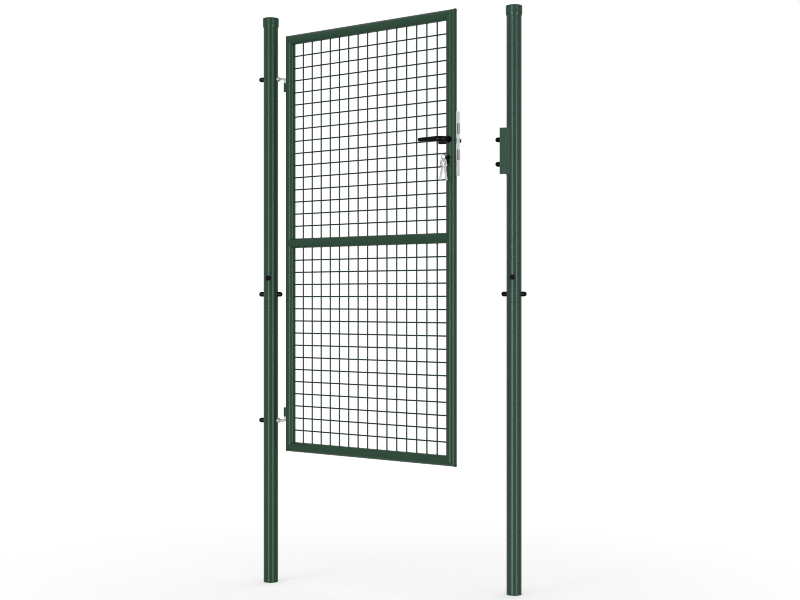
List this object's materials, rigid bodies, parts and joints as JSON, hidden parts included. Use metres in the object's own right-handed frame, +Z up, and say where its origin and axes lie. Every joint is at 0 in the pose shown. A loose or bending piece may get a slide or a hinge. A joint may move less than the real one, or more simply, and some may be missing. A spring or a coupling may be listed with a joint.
{
  "type": "steel garden gate",
  "caption": "Round-tube garden gate leaf with welded wire mesh, hung on gudgeons between capped posts, with lever handles, a latch, a deadbolt and keys.",
  "frame": {"origin": "middle of the hinge post's foot", "axes": "+X from the hinge post to the lock post, +Y to the back of the gateway, +Z up"},
  "size_m": [1.127, 0.4758, 2.343],
  "materials": {
    "green_paint": "satin powder coat",
    "green_plastic": "matte",
    "wire_paint": "satin",
    "zinc": "bright zinc",
    "bolt_steel": "satin",
    "black_plastic": "matte",
    "black_rubber": "matte",
    "black_paint": "satin"
  },
  "bodies": {
    "posts": {"hinge_post_lower": "green_paint", "hinge_post_upper": "green_paint", "hinge_post_cap": "green_plastic", "hinge_post_foot": "green_paint", "lock_post_lower": "green_paint", "lock_post_upper": "green_paint", "lock_post_cap": "green_plastic", "lock_post_foot": "green_paint", "hinge_post_bolts": "zinc", "hinge_post_bolt_caps": "black_plastic", "lock_post_bolts": "zinc", "lock_post_bolt_caps": "black_plastic", "lower_gudgeon": "zinc", "upper_gudgeon": "zinc", "gudgeon_nuts": "zinc", "gudgeon_caps": "black_plastic", "strike_bracket": "green_paint", "strike_bolts": "zinc", "strike_buffers": "black_rubber"},
    "leaf": {"hinge_stile": "green_paint", "lock_stile": "green_paint", "top_rail": "green_paint", "middle_rail": "green_paint", "bottom_rail": "green_paint", "upper_mesh": "wire_paint", "lower_mesh": "wire_paint", "lower_hinge_sleeve": "green_paint", "upper_hinge_sleeve": "green_paint", "lock_pocket": "green_paint", "lock_case": "zinc", "lock_plate": "zinc", "lock_cylinder": "black_paint", "lever_roses": "black_plastic", "key_plug": "black_paint", "key": "zinc"},
    "latch_bolt": {"latch": "bolt_steel"},
    "dead_bolt": {"deadbolt": "bolt_steel"},
    "levers": {"lever_spindle": "zinc", "front_lever": "black_plastic", "rear_lever": "black_plastic"},
    "spare_keys": {"key_ring": "zinc", "hanging_keys": "zinc"}
  },
  "joints": [
    {"name": "leaf_swing", "type": "hinge", "parent": "posts", "child": "leaf", "pos_m": [0.066, 0, 0.7], "axis": [0, 0, -1], "range_deg": [-25, 65]},
    {"name": "lever_turn", "type": "hinge", "parent": "leaf", "child": "levers", "pos_m": [0.85267, -0.36683, 1.775], "axis": [-0.4226, -0.9063, 0], "range_deg": [0, 35], "stiffness_Nm_per_rad": 2, "springref_deg": -17.19},
    {"name": "latch_slide", "type": "slide", "parent": "leaf", "child": "latch_bolt", "axis": [0.9063, -0.4226, 0], "range_m": [-0.011, 0]},
    {"name": "deadbolt_slide", "type": "slide", "parent": "leaf", "child": "dead_bolt", "axis": [0.9063, -0.4226, 0], "range_m": [0, 0.014]},
    {"name": "spare_keys_swing", "type": "hinge", "parent": "leaf", "child": "spare_keys", "pos_m": [0.83197, -0.41124, 1.7007], "axis": [-0.4226, -0.9063, 0], "range_deg": [-15, 15]}
  ],
  "couplings": [
    {"joint": "latch_slide", "follows": "lever_turn", "m_per_rad": -0.018}
  ]
}
